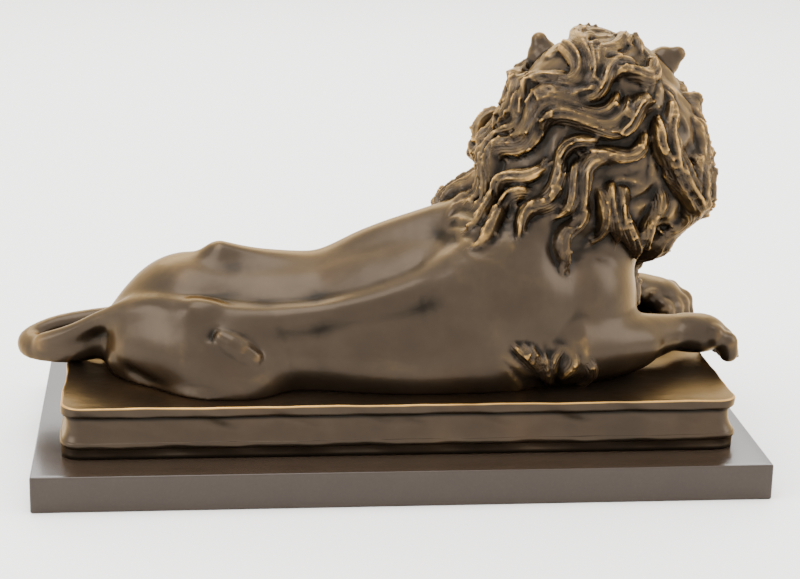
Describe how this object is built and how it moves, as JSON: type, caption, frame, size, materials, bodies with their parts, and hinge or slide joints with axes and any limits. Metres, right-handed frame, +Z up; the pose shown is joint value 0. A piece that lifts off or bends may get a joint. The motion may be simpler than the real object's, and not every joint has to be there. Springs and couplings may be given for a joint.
{
  "type": "bronze lion figure",
  "caption": "Recumbent bronze lion with its head turned to its left and its tail looped behind, on a moulded bronze plinth and a polished stone slab.",
  "frame": {"origin": "middle of the slab's underside", "axes": "+Z up, +X along the slab towards the lion's forepaws, +Y to the lion's left, where it looks"},
  "size_m": [0.4167, 0.208, 0.2416],
  "materials": {
    "lion_bronze": "dark brown patinated bronze, waxed, with the high parts rubbed to gold",
    "plinth_bronze": "dark brown patinated bronze, waxed, with a gold rubbed top edge",
    "slab_stone": "polished dark brown stone"
  },
  "bodies": {
    "root": {"lion": "lion_bronze", "bronze_plinth": "plinth_bronze", "stone_slab": "slab_stone"}
  },
  "joints": []
}
